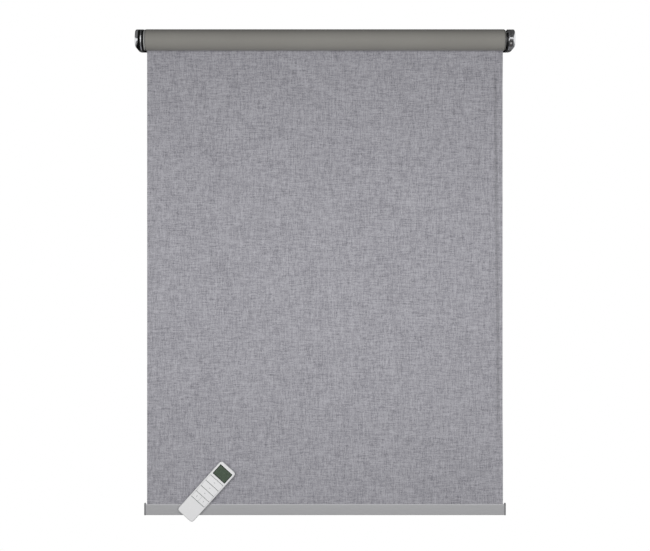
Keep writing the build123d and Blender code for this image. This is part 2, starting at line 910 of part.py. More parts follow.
def bar_outline():
    """Upright bar profile with gently crowned front and back faces."""
    half_width = bar_thickness / 2 - bar_bulge
    half_height = bar_height / 2
    front = ThreePointArc(
        (-half_width, half_height), (-bar_thickness / 2, 0), (-half_width, -half_height)
    )
    back = ThreePointArc(
        (half_width, -half_height), (bar_thickness / 2, 0), (half_width, half_height)
    )
    bottom = Line(front @ 1, back @ 0)
    top = Line(back @ 1, front @ 0)
    face = make_face(Curve() + [front, bottom, back, top])
    face = fillet(face.vertices(), bar_rounding)
    return Pos(fabric_middle, bar_top - half_height) * face


def rod_height():
    return bar_top - bar_slot_depth() - bar_spline_radius


def bar_cavity(gap=0.0):
    """Hollow below the web, drawn in by a further gap for what fits inside."""
    web = rod_height() - bar_spline_radius - slide_gap - bar_wall - gap
    inside = offset(bar_outline(), -bar_wall - gap)
    return inside & (Pos(fabric_middle, web - bar_height / 2) * Rectangle(bar_thickness, bar_height))


def bar_sketch():
    """Hollow profile with a slotted channel for the spline rod at the top."""
    channel = Pos(fabric_middle, rod_height()) * Circle(bar_spline_radius + slide_gap)
    mouth = bar_top + beyond
    slot = Pos(fabric_middle, (mouth + rod_height()) / 2) * Rectangle(bar_slot, mouth - rod_height())
    return bar_outline() - bar_cavity() - channel - slot


def make_bottom_bar():
    return along_x(bar_sketch(), -bar_half, bar_half)


def make_bar_spline():
    """Rod in the channel that locks the lower end of the fabric."""
    half = fabric_width / 2
    return round_bar(bar_spline_radius, -half, half, fabric_middle, rod_height())


def make_right_bar_cap():
    """End cap with a raised, rounded top and a hollow spigot inside the bar."""
    top = bar_top + bar_cap_rise
    bottom = bar_top - bar_height - bar_cap_margin / 2
    width = bar_thickness + 2 * bar_cap_margin
    plate = Pos(fabric_middle, (top + bottom) / 2) * Rectangle(width, top - bottom)
    plate = fillet(plate.vertices().group_by(Axis.Y)[-1], width / 2 - bar_cap_crown)
    plate = fillet(plate.vertices().group_by(Axis.Y)[0], bar_rounding)
    start = bar_half + seat_gap / 2
    cap = along_x(plate, start, start + bar_cap_thickness)
    cap = chamfer(cap.edges().group_by(Axis.X)[-1], bar_cap_edge)
    spigot = bar_cavity(slide_gap)
    core = bar_cavity(slide_gap + bar_cap_wall)
    cap += along_x(spigot, start - bar_cap_spigot, start)
    return cap - along_x(core, start - bar_cap_spigot - beyond, start - bar_cap_floor)


# Remote control, modelled upright with its front face at Y = 0, then placed


def remote_place():
    """Lies against the front of the bottom bar, leaning to the right."""
    back = fabric_middle - bar_thickness / 2 - body_gap - seat_gap
    centre_x = -bar_half + remote_from_bar_end
    centre_z = bar_top - bar_height + remote_above_bar_foot
    return Pos(centre_x, back - remote_depth, centre_z) * Rot(0, remote_tilt, 0)


def remote_block(inset, front, back):
    """The case outline, drawn in by inset, from Y = front to Y = back."""
    outline = RectangleRounded(
        remote_width - 2 * inset, remote_length - 2 * inset, remote_corner - inset
    )
    return extrude(Plane.XZ.offset(-front) * outline, -(back - front))


def slab(width, height, front, back, x=0.0, z=0.0, corner=0.0):
    """A plate facing the front of the remote."""
    outline = RectangleRounded(width, height, corner) if corner else Rectangle(width, height)
    return Pos(x, 0, z) * extrude(Plane.XZ.offset(-front) * outline, -(back - front))


def screen_centre():
    return remote_length / 2 - screen_top_margin - screen_height / 2


def slit_height(n):
    """Height of the dark line above key row n."""
    return screen_centre() - screen_height / 2 - first_slit - n * key_pitch


def key_rows():
    """Centre height of each row: up, stop, down, and the row of two channel keys."""
    return [slit_height(n) - key_pitch / 2 for n in range(4)]


def coin_height():
    return -remote_length / 2 + coin_from_end


def case_screw_places():
    """The two case screws stand below the coin cell, one on each side."""
    reach = coin_radius + well_gap + boss_radius + boss_clearance
    aside = reach * math.sin(math.radians(boss_angle))
    height = coin_height() - reach * math.cos(math.radians(boss_angle))
    return [(-aside, height), (aside, height)]


def remote_pillar(radius, front, back, z=0.0, x=0.0):
    """A round post, square to the front face."""
    outline = Pos(x, z) * Circle(radius)
    return extrude(Plane.XZ.offset(-front) * outline, -(back - front))


def make_remote_front_shell():
    """Front shell with the screen window, one opening for the keys and two screw bosses."""
    shell = remote_block(0, 0, remote_front_depth)
    shell = fillet(shell.edges().group_by(Axis.Y)[0], remote_edge)
    shell -= remote_block(remote_wall, remote_wall, remote_front_depth + beyond)
    inside = remote_wall + beyond
    shell -= slab(
        screen_width, screen_height, -beyond, inside, z=screen_centre(), corner=screen_corner
    )
    top, bottom = slit_height(0) + key_slit / 2, slit_height(4) - key_slit / 2
    width = key_width + 2 * key_side_gap
    shell -= slab(width, top - bottom, -beyond, inside, z=(top + bottom) / 2)
    for x, z in case_screw_places():
        boss_end = well_front() - seat_gap / 2
        shell += remote_pillar(boss_radius, remote_wall - overlap / 2, boss_end, z, x)
        bore = case_screw_radius + press_gap
        shell -= remote_pillar(bore, remote_wall + overlap, remote_depth, z, x)
    return shell


def well_front():
    """Front face of the coin cell's well in the back shell."""
    coin_front = remote_depth - door_thickness - body_gap - coin_thickness
    return coin_front - well_floor - contact_sheet


def back_block():
    """Outside of the back shell."""
    block = remote_block(seam_step, remote_front_depth + seat_gap / 2, remote_depth)
    return chamfer(block.edges().group_by(Axis.Y)[-1], remote_back_edge)


def door_space(gap):
    """Slot of the battery door, open at the lower end, with a rail along each side."""
    inner = remote_depth - door_thickness - gap
    rail_back = remote_depth - door_thickness / 2 + gap / 2
    top = -remote_length / 2 + door_length + gap
    low = -remote_length / 2 - beyond
    height, middle = top - low, (top + low) / 2
    width = door_width + 2 * gap
    space = slab(width, height, inner, remote_depth + beyond, z=middle)
    return space + slab(width + 2 * door_rail, height, inner, rail_back, z=middle)


def make_remote_back_shell():
    """Back shell with a floor under the door and a round well for the coin cell."""
    shell = back_block()
    inside = remote_depth - remote_wall
    shell -= remote_block(remote_wall + seam_step, remote_front_depth - beyond, inside)
    pad_back = remote_depth - door_thickness - slide_gap
    pad_low = -remote_length / 2
    pad_high = pad_low + door_length + 2 * door_seat
    pad = slab(
        door_width + 2 * (door_rail + door_seat),
        pad_high - pad_low,
        pad_back - door_seat,
        inside + seat_gap,
        z=(pad_low + pad_high) / 2,
    )
    well_reach = coin_radius + well_gap + well_wall
    low = case_screw_places()[0][1] - boss_radius - well_wall / 2
    high = coin_height() + well_reach
    well = slab(2 * well_reach, high - low, well_front(), inside + seat_gap, z=(low + high) / 2)
    shell += (pad & back_block()) + well
    shell -= door_space(slide_gap)
    through = well_front() - beyond
    coin_space = coin_radius + well_gap
    shell -= remote_pillar(coin_space, well_front() + well_floor, remote_depth, coin_height())
    shell -= remote_pillar(contact_hole_radius, through, remote_depth, coin_height())
    shell -= slab(
        contact_sheet + beyond,
        contact_width + 2 * body_gap,
        through,
        remote_depth - door_thickness,
        x=coin_radius + contact_sheet,
        z=coin_height(),
    )
    for x, z in case_screw_places():
        hole, seat = case_screw_radius + seat_gap, case_screw_head + slide_gap
        shell -= remote_pillar(hole, through, remote_depth, z, x)
        shell -= remote_pillar(seat, pad_back - door_seat - seat_gap, remote_depth, z, x)
    return shell


def make_remote_door():
    """Sliding battery door with rails and a ribbed thumb grip."""
    door = door_space(0.0) & back_block()
    floor = remote_depth - grip_depth
    for n in range(grip_ribs):
        height = -remote_length / 2 + grip_from_end + grip_pitch * n
        door -= slab(grip_width, grip_groove, floor, remote_depth + beyond, z=height)
    return door


def make_remote_screws():
    """Two case screws under the battery door."""
    screws = []
    top = remote_depth - door_thickness - slide_gap - seat_gap / 2
    head = top - case_screw_head_height
    for x, z in case_screw_places():
        screw = remote_pillar(case_screw_radius, remote_wall + beyond, head + seat_gap, z, x)
        screws.append(screw + remote_pillar(case_screw_head, head, top, z, x))
    return Compound(children=screws)


def make_remote_coin_cell():
    """Coin cell on the spring plate."""
    front = well_front() + well_floor + contact_sheet
    return remote_pillar(coin_radius, front, front + coin_thickness, coin_height())


def make_remote_contacts():
    """Spring plate under the coin cell and a strip at its side."""
    start = board_back() + seat_gap / 2
    plate_front = well_front() + well_floor
    plate_back = plate_front + contact_sheet - seat_gap / 2
    plate = remote_pillar(contact_radius, plate_front, plate_back, coin_height())
    plate += remote_pillar(contact_lead_radius, start, plate_front + seat_gap, coin_height())
    strip = slab(
        contact_sheet,
        contact_width,
        start,
        remote_depth - door_thickness - door_seat,
        x=coin_radius + contact_sheet,
        z=coin_height(),
    )
    return Compound(children=[plate, strip])


def make_remote_window():
    """Clear window set back in the front shell."""
    return slab(
        screen_width - 2 * slide_gap,
        screen_height - 2 * slide_gap,
        screen_recess,
        screen_recess + screen_thickness,
        z=screen_centre(),
        corner=screen_corner - slide_gap,
    )


def make_remote_display():
    front = screen_recess + screen_thickness + seat_gap
    return slab(
        screen_width + 2 * display_side,
        screen_height + 2 * display_end,
        front,
        front + display_thickness,
        z=screen_centre(),
    )


def board_back():
    return board_seat + remote_board_thickness


def make_remote_board():
    """Circuit board with a dome switch under each key."""
    back = board_back()
    board = slab(
        remote_width - 2 * (remote_wall + remote_board_side),
        remote_length - 2 * (remote_wall + remote_board_end),
        board_seat,
        back,
        corner=remote_board_corner,
    )
    board += slab(processor_side, processor_side, back, back + processor_height, z=processor_at)
    crystal_back = back + crystal_height
    board += slab(
        crystal_width, crystal_length, back, crystal_back, x=crystal_aside, z=crystal_at
    )
    for row, side in key_places().values():
        board += slab(
            switch_size,
            switch_size,
            board_seat - switch_height,
            board_seat,
            x=key_middle(side),
            z=key_rows()[row],
        )
    for x, z in case_screw_places():
        board -= remote_pillar(boss_radius + body_gap, 0, remote_depth, z, x)
    return board


def key_places():
    """Row and side of each key: side 0 fills the row, -1 and 1 are its halves."""
    return {
        "remote_key_up": (0, 0),
        "remote_key_stop": (1, 0),
        "remote_key_down": (2, 0),
        "remote_key_left": (3, -1),
        "remote_key_right": (3, 1),
    }


def key_middle(side):
    return side * (key_width + key_side_gap) / 4


def make_remote_key(row, side):
    """Key cap flush with the case, a hidden rim that keeps it in, and a stem over its switch."""
    z = key_rows()[row]
    height = key_pitch - key_slit
    width = (key_width - abs(side) * key_side_gap) / (1 + abs(side))
    back = key_recess + key_depth
    cap = slab(width, height, key_recess, back, x=key_middle(side), z=z)
    cap = chamfer(cap.edges().group_by(Axis.Y)[0], key_edge)
    rim_front = max(remote_wall, key_recess) + slide_gap
    for edge in (-1, 1):
        if side in (0, edge):
            at = edge * (key_width + key_flange - key_side_gap) / 2
            length = height - 2 * key_flange_margin
            cap += slab(key_flange + key_side_gap, length, rim_front, back, x=at, z=z)
    stem_end = board_seat - switch_height - key_travel - seat_gap / 2
    return cap + slab(key_stem, key_stem, back - overlap, stem_end, x=key_middle(side), z=z)


def remote_parts():
    parts = {
        "remote_front_shell": make_remote_front_shell(),
        "remote_back_shell": make_remote_back_shell(),
        "remote_battery_door": make_remote_door(),
        "remote_window": make_remote_window(),
        "remote_display": make_remote_display(),
        "remote_board": make_remote_board(),
        "remote_coin_cell": make_remote_coin_cell(),
        "remote_contacts": make_remote_contacts(),
        "remote_screws": make_remote_screws(),
    }
    for name, (row, side) in key_places().items():
        parts[name] = make_remote_key(row, side)
    return {name: remote_place() * shape for name, shape in parts.items()}


def blind_parts():
    parts = {
        "left_bracket": make_left_bracket(),
        "right_bracket": make_right_bracket(),
        "left_cover": left_hand(cover_shell()),
        "right_cover": make_right_cover(),
        "roller_tube": make_roller_tube(),
        "tube_spline": make_tube_spline(),
        "fabric_roll": make_fabric_roll(),
        "fabric_drop": make_fabric_drop(),
        "idler_plug": make_idler_plug(),
        "idler_bush": make_idler_bush(),
        "idler_pin": make_idler_pin(),
        "idler_spring": make_idler_spring(),
        "spring_retainer": make_spring_retainer(),
        "motor_head": make_motor_head(),
        "motor_casing": make_motor_casing(),
        "inner_chassis": make_inner_chassis(),
        "charge_port": make_charge_port(),
        "program_button": make_program_button(),
        "status_light": make_status_light(),
        "control_board": make_control_board(),
        "battery_cells": make_battery_cells(),
        "dc_motor": make_dc_motor(),
        "motor_pinion": make_motor_pinion(),
        "gearbox_housing": make_gearbox_housing(),
        "first_carrier": make_first_carrier(),
        "output_carrier": make_output_carrier(),
        "crown_ring": make_crown_ring(),
        "drive_wheel": make_drive_wheel(),
        "drive_screw": make_drive_screw(),
        "bottom_bar": make_bottom_bar(),
        "bar_spline": make_bar_spline(),
        "right_bar_cap": make_right_bar_cap(),
        "left_bar_cap": left_hand(make_right_bar_cap()),
    }
    for n in range(planet_count):
        parts[f"first_planet_{n + 1}"] = make_planet(0, n)
        parts[f"second_planet_{n + 1}"] = make_planet(1, n)
    return parts


def main():
    os.makedirs("parts", exist_ok=True)
    for name, shape in {**blind_parts(), **remote_parts()}.items():
        export_step(shape, f"parts/{name}.step")


main()
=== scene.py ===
import json
import math

import bmesh
import bpy
from mathutils import Matrix, Vector, noise


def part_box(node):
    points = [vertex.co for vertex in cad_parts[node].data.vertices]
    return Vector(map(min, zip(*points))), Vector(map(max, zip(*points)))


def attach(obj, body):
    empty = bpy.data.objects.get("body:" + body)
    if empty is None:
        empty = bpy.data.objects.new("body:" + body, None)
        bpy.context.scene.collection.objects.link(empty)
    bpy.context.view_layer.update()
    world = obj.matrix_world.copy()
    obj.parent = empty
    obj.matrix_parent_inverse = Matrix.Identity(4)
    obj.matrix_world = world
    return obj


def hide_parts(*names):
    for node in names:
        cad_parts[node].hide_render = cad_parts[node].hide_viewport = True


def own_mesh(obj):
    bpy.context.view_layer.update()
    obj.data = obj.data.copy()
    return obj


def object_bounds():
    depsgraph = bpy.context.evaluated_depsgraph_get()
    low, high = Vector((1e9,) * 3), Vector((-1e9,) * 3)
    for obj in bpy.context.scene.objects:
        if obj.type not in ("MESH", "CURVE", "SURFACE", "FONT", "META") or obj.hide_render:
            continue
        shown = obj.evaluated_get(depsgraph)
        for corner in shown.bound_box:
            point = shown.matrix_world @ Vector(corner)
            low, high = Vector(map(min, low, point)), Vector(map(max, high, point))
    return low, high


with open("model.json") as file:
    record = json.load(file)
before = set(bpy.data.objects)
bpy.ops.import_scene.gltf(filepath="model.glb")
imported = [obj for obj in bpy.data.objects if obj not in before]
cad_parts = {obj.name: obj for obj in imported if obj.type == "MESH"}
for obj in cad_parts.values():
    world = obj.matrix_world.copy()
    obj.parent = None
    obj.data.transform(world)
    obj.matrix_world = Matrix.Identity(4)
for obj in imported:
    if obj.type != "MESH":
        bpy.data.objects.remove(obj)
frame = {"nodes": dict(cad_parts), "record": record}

# Metres, in the frame of the CAD model: X across the window, Y into the wall, Z up.
cad_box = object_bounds()
MM = 0.001

# Camera: level and straight on
image_width = 650
camera_focal_px = 1790
camera_distance = 4.0  # in front of the roller axis
camera_height = -0.5262  # from the roller axis
sensor_width = 36.0  # millimetres, as the camera takes it
view_depth = 50.0

# Hanging fabric
cloth_thickness = 0.5 * MM
sheet_columns = 110
sheet_rows = 150
belly_depth = 1.0 * MM
belly_evenness = 0.7  # under 1 spreads the belly over more of the height
belly_floor = 0.6  # part of the belly that is the same everywhere
belly_wave = 0.8  # part that the waves change
wave_across = 2.2  # waves per metre
wave_down = 1.4  # waves over the height
wave_start = 0.3  # place in the noise
side_rise = 0.5  # how much the sides add to the waves
side_sharpness = 6
straight_share = 0.92  # of the height from the top; the fabric hangs straight below it

# Curl of the right edge
curl_zone = 36 * MM
curl_columns = 24
curl_depth = 7 * MM
curl_width = 12 * MM
curl_from_edge_top = 18 * MM
curl_from_edge_foot = 8 * MM
curl_rise = 0.1  # shares of the height over which it begins and ends
curl_fall = 0.15

# Fabric on the roll
turn_count = 9
winding_steps = 48
turn_fill = 0.96  # share of the space of one turn that its cloth fills
edge_wander = 0.12 * MM  # how far the turns stand out unevenly at the ends
wander_pace = 0.9  # waves per turn
edge_column = 0.9995  # share of the half width where the last strip begins
wrap_angle = math.radians(38)
lead_steps = 14
lead_end_share = 0.1  # thickness left where the lead merges with the turns
lead_gap = 0.02 * MM

# Linen weave
slub_pitch = 1.2 * MM
slub_length = 18 * MM
yarn_pitch = 0.6 * MM
dash_length = 2.4 * MM
slub_weight = 0.42
dash_weight = 0.36
weave_weight = 0.11
patch_low = -0.255  # broad patches shift the tone by this to patch_high
patch_high = -0.215
row_step = 7.3  # keeps the tones of neighbouring yarns apart
noise_slice = 0.5
dash_shift = 0.37  # of a dash, from one row to the next
usual_low = 0.3  # most values of a soft noise lie between this and usual_high
usual_high = 0.7

# Coating on the reverse of the fabric
coat_patches = 0.6
coat_threads = 0.4

# Covers: relief in their plating, measured from the rim and from the open edge
cover_width = 14.6 * MM
crown_start = 1.0 * MM
crown_end = 7.0 * MM
crown_height = 1.2 * MM
collar_start = 0.5 * MM
collar_end = 2.6 * MM
collar_height = 1.2 * MM

# Painted highlight: a paler band along the top of the bottom bar
highlight_band_height = 1.5 * MM
highlight_band_fade = 0.2 * MM

# Inner half of the brackets' wall flanges
flange_root = 2.0 * MM  # part that overlaps the bracket
flange_reach = 10.0 * MM
flange_thickness = 2.5 * MM
flange_corner = 3.0 * MM
flange_edge = 0.5 * MM
corner_steps = 6

# Remote
remote_tilt = math.radians(42)
# The display's darker rim is painted shade from the recessed window's edges
display_clear_x = 16.2 * MM  # half width inside the painted shade along the rim
display_clear_z = 11.7 * MM  # half height
display_fade = 0.5 * MM
symbol_stroke = 0.55 * MM
symbol_relief = 0.03 * MM
symbol_size = 1.7 * MM  # half width of a chevron, and the unit of the next two
chevron_rise = 0.45  # half height of a chevron
dash_reach = 0.8  # half length of the dash

# Tone and gloss of plastic and metal
pale_lift = 0.004
rubbed_gain = 1.35
rubbed_lift = 0.015
gloss_down = 0.06
gloss_up = 0.08
metal_dark = 0.9
streak_down = 0.7
streak_up = 1.35

# Edges and fine relief of the materials
bevel_samples = 4
sharp_below = 0.6  # cosine between the true and the softened normal at a sharp edge
flat_above = 0.97
plastic_edge = 0.3 * MM
rubbed_edge = 0.45 * MM
metal_edge = 0.25 * MM
spark_relief = 0.02 * MM
brush_relief = 0.008 * MM
peel_relief = 0.02 * MM
weave_relief = 0.1 * MM
coating_relief = 0.03 * MM
track_relief = 0.03 * MM

# Lamps, in the room and behind the wall plane
lamp_distance = 2.6
lamp_level = -0.5
lamp_aim = -0.56  # height in the window that both face
lamp_width = 3.4
lamp_tall = 1.1
lamp_power = 19.8
lamp_spread = math.radians(70)
world_light = 0.07

# Floor
floor_half = 2.2
floor_drop = 0.38  # below the CAD model
floor_grey = 0.4
floor_white = 0.88
floor_fade_start = 1.2


# Places that follow from the CAD model


def centre_of(node):
    low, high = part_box(node)
    return (Vector(low) + Vector(high)) / 2


tube_centre = centre_of("roller_tube")
roll_low, roll_high = (Vector(corner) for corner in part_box("fabric_roll"))
tube_low, tube_high = (Vector(corner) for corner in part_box("roller_tube"))
drop_low, drop_high = (Vector(corner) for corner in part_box("fabric_drop"))
roll_radius = (roll_high.z - roll_low.z) / 2
tube_radius = (tube_high.y - tube_low.y) / 2
cloth_half = (drop_high.x - drop_low.x) / 2
cloth_plane = (drop_low.y + drop_high.y) / 2


# Node helpers; they take a material or the world


def new_material(name):
    """Node material with its Principled shader."""
    material = bpy.data.materials.new(name)
    material.use_nodes = True
    shader = material.node_tree.nodes["Principled BSDF"]
    return material, shader


def add(material, kind, **settings):
    """New node, with its properties and sockets set by name."""
    node = material.node_tree.nodes.new(kind)
    for key, value in settings.items():
        if key in node.inputs:
            node.inputs[key].default_value = value
        else:
            setattr(node, key, value)
    return node


def link(material, output, socket):
    material.node_tree.links.new(output, socket)


def position(material, scale=(1, 1, 1)):
    """Place on the object in metres, stretched."""
    coordinates = add(material, "ShaderNodeTexCoord")
    mapping = add(material, "ShaderNodeMapping", Scale=scale)
    link(material, coordinates.outputs["Object"], mapping.inputs["Vector"])
    return mapping.outputs["Vector"]


def xyz(material, vector=None):
    """Three parts of a vector, or of the place on the object."""
    parts = add(material, "ShaderNodeSeparateXYZ")
    if vector is None:
        vector = position(material)
    link(material, vector, parts.inputs["Vector"])
    return parts.outputs["X"], parts.outputs["Y"], parts.outputs["Z"]


def grain(material, scale, detail=3.0, roughness=0.55, stretch=(1, 1, 1)):
    """Noise from 0 to 1; scale is in waves per metre."""
    texture = add(material, "ShaderNodeTexNoise", Scale=scale, Detail=detail, Roughness=roughness)
    link(material, position(material, stretch), texture.inputs["Vector"])
    return texture.outputs["Fac"]


def remap(material, value, low, high, start=0.0, end=1.0, smooth=False):
    """Stretches the range start to end onto low to high."""
    node = add(material, "ShaderNodeMapRange")
    if smooth:
        node.interpolation_type = "SMOOTHSTEP"
    link(material, value, node.inputs["Value"])
    for key, number in (("From Min", start), ("From Max", end), ("To Min", low), ("To Max", high)):
        node.inputs[key].default_value = number
    return node.outputs["Result"]


def maths(material, operation, first, second=0.0):
    node = add(material, "ShaderNodeMath", operation=operation)
    for socket, value in zip(node.inputs, (first, second)):
        if isinstance(value, (int, float)):
            socket.default_value = value
        else:
            link(material, value, socket)
    return node.outputs["Value"]


def blend_colours(material, factor, first, second):
    """Mixes two colours or colour sockets by a factor socket."""
    node = add(material, "ShaderNodeMix", data_type="RGBA")
    sockets = [s for s in node.inputs if s.type == "RGBA"]
    link(material, factor, node.inputs[0])
    for socket, value in zip(sockets, (first, second)):
        if isinstance(value, (tuple, list)):
            socket.default_value = (*value, 1.0)
        else:
            link(material, value, socket)
    return [s for s in node.outputs if s.type == "RGBA"][0]


def srgb(red, green, blue):
    """Linear colour from 0 to 255 screen values."""
    return tuple(((v / 255 + 0.055) / 1.055) ** 2.4 for v in (red, green, blue))


def softened(material, radius):
    """Normal that runs round each edge with a radius."""
    bevel = add(material, "ShaderNodeBevel", samples=bevel_samples, Radius=radius)
    return bevel.outputs["Normal"]


def edge_mask(material, radius):
    """About 1 on sharp edges and 0 elsewhere."""
    geometry = add(material, "ShaderNodeNewGeometry")
    dot = add(material, "ShaderNodeVectorMath", operation="DOT_PRODUCT")
    link(material, softened(material, radius), dot.inputs[0])
    link(material, geometry.outputs["Normal"], dot.inputs[1])
    return remap(material, dot.outputs["Value"], 1.0, 0.0, sharp_below, flat_above)


def bump(material, shader, height, distance, strength=1.0, rounded=0.0):
    """Relief of a given depth in metres, on top of an earlier one or of softened edges."""
    node = add(material, "ShaderNodeBump", Distance=distance, Strength=strength)
    link(material, height, node.inputs["Height"])
    if shader.inputs["Normal"].is_linked:
        link(material, shader.inputs["Normal"].links[0].from_socket, node.inputs["Normal"])
    elif rounded:
        link(material, softened(material, rounded), node.inputs["Normal"])
    link(material, node.outputs["Normal"], shader.inputs["Normal"])


# Materials


def moulding(name, colour, rough=0.45, speck=0.06, shine=0.5):
    """Moulded plastic: fine spark texture, faint tone changes and paler rubbed edges."""
    material, shader = new_material(name)
    shader.inputs["Specular IOR Level"].default_value = shine
    tone = grain(material, scale=60, detail=4.0)
    dark = tuple(c * (1 - speck) for c in colour)
    light = tuple(min(1.0, c * (1 + speck) + pale_lift) for c in colour)
    body = blend_colours(material, tone, dark, light)
    rubbed = tuple(min(1.0, c * rubbed_gain + rubbed_lift) for c in colour)
    edges = edge_mask(material, rubbed_edge)
    worn = maths(material, "MULTIPLY", edges, grain(material, scale=900, detail=2.0))
    link(material, blend_colours(material, worn, body, rubbed), shader.inputs["Base Color"])
    spots = grain(material, scale=300)
    gloss = remap(material, spots, low=rough - gloss_down, high=rough + gloss_up)
    link(material, gloss, shader.inputs["Roughness"])
    sparks = grain(material, scale=4000, detail=2.0)
    bump(material, shader, sparks, spark_relief, strength=0.5, rounded=plastic_edge)
    return material


def metal(name, colour, rough=0.3, brushed=(1, 1, 1)):
    """Bare metal; fine lines run along the direction in which brushed is small."""
    material, shader = new_material(name)
    shader.inputs["Metallic"].default_value = 1.0
    tone = grain(material, scale=250, stretch=brushed)
    dark = tuple(c * metal_dark for c in colour)
    link(material, blend_colours(material, tone, dark, colour), shader.inputs["Base Color"])
    lines = grain(material, scale=700, detail=4.0, stretch=brushed)
    gloss = remap(material, lines, low=rough * streak_down, high=rough * streak_up)
    link(material, gloss, shader.inputs["Roughness"])
    fine_lines = grain(material, scale=1800, detail=2.0, stretch=brushed)
    bump(material, shader, fine_lines, brush_relief, strength=0.4, rounded=metal_edge)
    return material


def bar_finish():
    """Satin grey lacquer on the bottom bar, with a painted highlight as a paler band along the slot.
    """
    material, shader = new_material("satin_aluminium")
    lines = grain(material, scale=700, detail=4.0, stretch=(0.03, 1, 1))
    face = blend_colours(material, lines, srgb(175, 175, 177), srgb(185, 185, 187))
    height = xyz(material)[2]
    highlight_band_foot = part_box("bottom_bar")[1][2] - highlight_band_height
    # Painted highlight: the top band of the bar is paler, standing in for light caught by its upper
    # edge
    painted_highlight = remap(material, height, 0.0, 1.0, start=highlight_band_foot - highlight_band_fade, end=highlight_band_foot + highlight_band_fade)
    face_and_highlight = blend_colours(material, painted_highlight, face, srgb(218, 218, 220))
    link(material, face_and_highlight, shader.inputs["Base Color"])
    shader.inputs["Metallic"].default_value = 0.15
    link(material, remap(material, lines, low=0.42, high=0.58), shader.inputs["Roughness"])
    bump(material, shader, lines, brush_relief, strength=0.4, rounded=metal_edge)
    return material


def cover_chrome(node, outward):
    """Bright plating of a cover, with faint orange peel and a few hairline scuffs.

    The front is crowned to the rim and steps down to a collar.
    """
    material, shader = new_material(node + "_plating")
    shader.inputs["Metallic"].default_value = 1.0
    tone = grain(material, scale=90)
    plating = blend_colours(material, tone, (0.70, 0.71, 0.73), (0.82, 0.83, 0.85))
    link(material, plating, shader.inputs["Base Color"])
    scuffs = grain(material, scale=500, detail=4.0, roughness=0.7, stretch=(0.2, 1, 1))
    gloss = remap(material, scuffs, low=0.07, high=0.16, start=0.4, end=0.8)
    link(material, gloss, shader.inputs["Roughness"])
    peel = grain(material, scale=160, detail=2.0)
    bump(material, shader, peel, peel_relief, strength=0.25, rounded=metal_edge)
    low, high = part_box(node)
    painted_rim_shade = high[0] if outward > 0 else low[0]
    mouth = painted_rim_shade - outward * cover_width
    across = xyz(material)[0]
    crown = (painted_rim_shade - outward * crown_start, painted_rim_shade - outward * crown_end)
    collar = (mouth + outward * collar_start, mouth + outward * collar_end)
    for (foot, top), depth in ((crown, crown_height), (collar, collar_height)):
        slope = remap(material, across, 0.0, 1.0, start=foot, end=top, smooth=True)
        bump(material, shader, slope, depth)
    return material


def yarns(material, along, across, pitch, length):
    """Tone of straight yarns side by side; each one changes along its own length."""
    row = maths(material, "FLOOR", maths(material, "DIVIDE", across, pitch))
    place = add(material, "ShaderNodeCombineXYZ", Z=noise_slice)
    link(material, maths(material, "DIVIDE", along, length), place.inputs["X"])
    link(material, maths(material, "MULTIPLY", row, row_step), place.inputs["Y"])
    texture = add(material, "ShaderNodeTexNoise", Scale=1.0, Detail=1.0)
    link(material, place.outputs["Vector"], texture.inputs["Vector"])
    return remap(material, texture.outputs["Fac"], 0.0, 1.0, start=usual_low, end=usual_high)


def crossing(material, across, down, pitch):
    """Height from 0 to 1 of a plain weave: yarns pass over and under in turn."""
    cells = []
    crests = []
    for place in (across, down):
        step = maths(material, "DIVIDE", place, pitch)
        cells.append(maths(material, "FLOOR", step))
        wave = maths(material, "SINE", maths(material, "MULTIPLY", step, math.pi))
        crests.append(maths(material, "ABSOLUTE", wave))
    turn = maths(material, "PINGPONG", maths(material, "ADD", *cells), 1.0)
    return blend_colours(material, turn, *crests)


def dashes(material, along, across, pitch, length):
    """Tone from 0 to 1 of the short stretches of yarn that lie on top of the weave."""
    row = maths(material, "FLOOR", maths(material, "DIVIDE", across, pitch))
    shift = maths(material, "MULTIPLY", row, dash_shift)
    shifted = maths(material, "ADD", maths(material, "DIVIDE", along, length), shift)
    place = add(material, "ShaderNodeCombineXYZ")
    link(material, maths(material, "FLOOR", shifted), place.inputs["X"])
    link(material, row, place.inputs["Y"])
    tone = add(material, "ShaderNodeTexWhiteNoise", noise_dimensions="3D")
    link(material, place.outputs["Vector"], tone.inputs["Vector"])
    return tone.outputs["Value"]


def linen():
    """Grey linen weave: fine crossing yarns with straight slubs along both directions."""
    material, shader = new_material("linen_front")
    across, _, down = xyz(material)
    weft = yarns(material, across, down, slub_pitch, slub_length)
    warp = yarns(material, down, across, slub_pitch, slub_length)
    fine_weft = dashes(material, across, down, yarn_pitch, dash_length)
    fine_warp = dashes(material, down, across, yarn_pitch, dash_length)
    weave = crossing(material, across, down, yarn_pitch)
    patches = grain(material, scale=9, detail=2.0)
    tone = remap(material, patches, patch_low, patch_high, start=usual_low, end=usual_high)
    slubs = maths(material, "ADD", weft, warp)
    fine = maths(material, "ADD", fine_weft, fine_warp)
    for part, weight in ((slubs, slub_weight), (fine, dash_weight), (weave, weave_weight)):
        tone = maths(material, "ADD", tone, maths(material, "MULTIPLY", part, weight))
    cloth = blend_colours(material, tone, srgb(105, 104, 111), srgb(179, 178, 184))
    link(material, cloth, shader.inputs["Base Color"])
    shader.inputs["Roughness"].default_value = 0.92
    shader.inputs["Sheen Weight"].default_value = 0.15
    shader.inputs["Sheen Roughness"].default_value = 0.5
    bump(material, shader, weave, weave_relief, strength=0.5)
    return material


